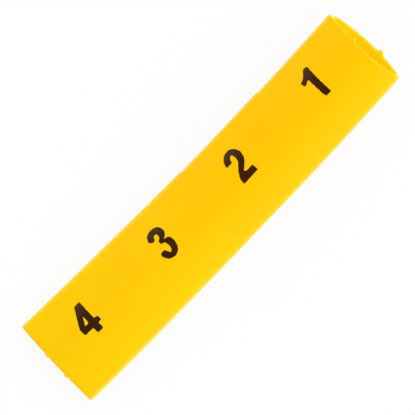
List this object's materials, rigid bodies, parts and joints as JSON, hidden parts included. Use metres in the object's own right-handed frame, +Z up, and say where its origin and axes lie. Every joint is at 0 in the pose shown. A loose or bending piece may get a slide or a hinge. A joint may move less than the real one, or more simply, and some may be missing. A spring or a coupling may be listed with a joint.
{
  "type": "cable marker",
  "caption": "Flattened yellow heat-shrink sleeve cut across into numbered cable markers that small bridges still join, opened into a lens at one end.",
  "frame": {"origin": "under the middle of the strip, on the surface that it lies on", "axes": "+X along the strip from its pressed end to its open end, +Y across it towards the tops of the numbers, +Z up"},
  "size_m": [0.0514, 0.0112, 0.0041],
  "materials": {
    "sleeve_plastic": "satin yellow polyolefin, paler along the creases",
    "marking_ink": "matt brown-black print"
  },
  "bodies": {
    "root": {"sleeve": "sleeve_plastic", "printed_numbers": "marking_ink"}
  },
  "joints": []
}
